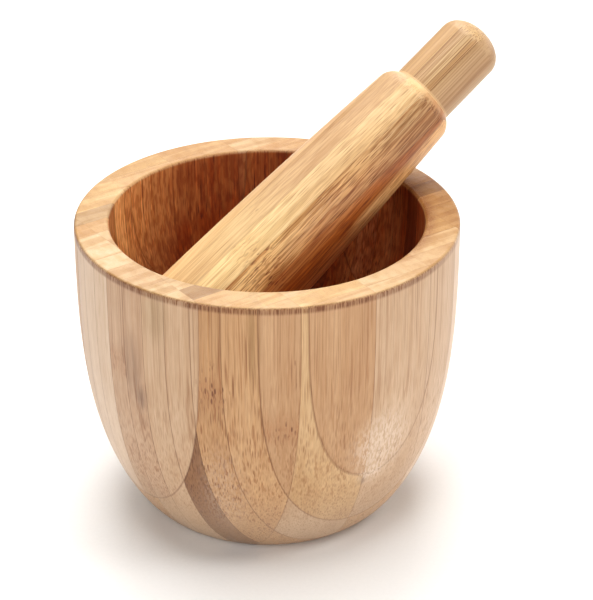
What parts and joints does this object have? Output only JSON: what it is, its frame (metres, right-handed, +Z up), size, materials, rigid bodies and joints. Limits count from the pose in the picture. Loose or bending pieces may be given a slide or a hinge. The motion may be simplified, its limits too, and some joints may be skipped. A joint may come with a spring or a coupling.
{
  "type": "mortar and pestle",
  "caption": "Turned bamboo mortar with a thick flat rim and a narrower foot, and a loose pestle with a slim handle leaning inside it.",
  "frame": {"origin": "centre of the mortar's foot, on the surface it stands on", "axes": "+Z up along the mortar's axis; -Y towards the viewer of the front; +X to the right, the side the pestle's handle leans to"},
  "size_m": [0.1334, 0.12, 0.144],
  "materials": {
    "mortar_cream": "oiled bamboo, cream, fine upright grain, dotted end grain on the rim",
    "mortar_tan": "oiled bamboo, tan, fine upright grain, dotted end grain on the rim",
    "mortar_pale": "oiled bamboo, pale yellow, fine upright grain",
    "mortar_brown": "oiled bamboo, steamed brown, streaky upright grain",
    "pestle_honey": "oiled bamboo, honey, smooth, grain along the pestle",
    "pestle_dark": "oiled bamboo, dark reddish brown, streaky grain along the pestle",
    "pestle_brown": "oiled bamboo, brown, long dark fibre dashes along the pestle",
    "pestle_pale": "oiled bamboo, pale yellow, smooth, grain along the pestle",
    "pestle_tan": "oiled bamboo, tan, smooth, grain along the pestle"
  },
  "bodies": {
    "mortar": {"mortar_board_01": "mortar_cream", "mortar_board_02": "mortar_tan", "mortar_board_03": "mortar_pale", "mortar_board_04": "mortar_brown", "mortar_board_05": "mortar_cream", "mortar_board_06": "mortar_tan", "mortar_board_07": "mortar_pale", "mortar_board_08": "mortar_brown", "mortar_board_09": "mortar_cream", "mortar_board_10": "mortar_tan", "mortar_board_11": "mortar_pale", "mortar_board_12": "mortar_brown", "mortar_board_13": "mortar_cream", "mortar_board_14": "mortar_tan", "mortar_board_15": "mortar_pale", "mortar_board_16": "mortar_brown"},
    "pestle": {"pestle_board_1": "pestle_honey", "pestle_board_2": "pestle_dark", "pestle_board_3": "pestle_brown", "pestle_board_4": "pestle_pale", "pestle_board_5": "pestle_tan"}
  },
  "joints": [
    {"name": "pestle_lift", "type": "slide", "parent": "mortar", "child": "pestle", "axis": [0, 0, 1], "range_m": [0, 0.1]}
  ]
}
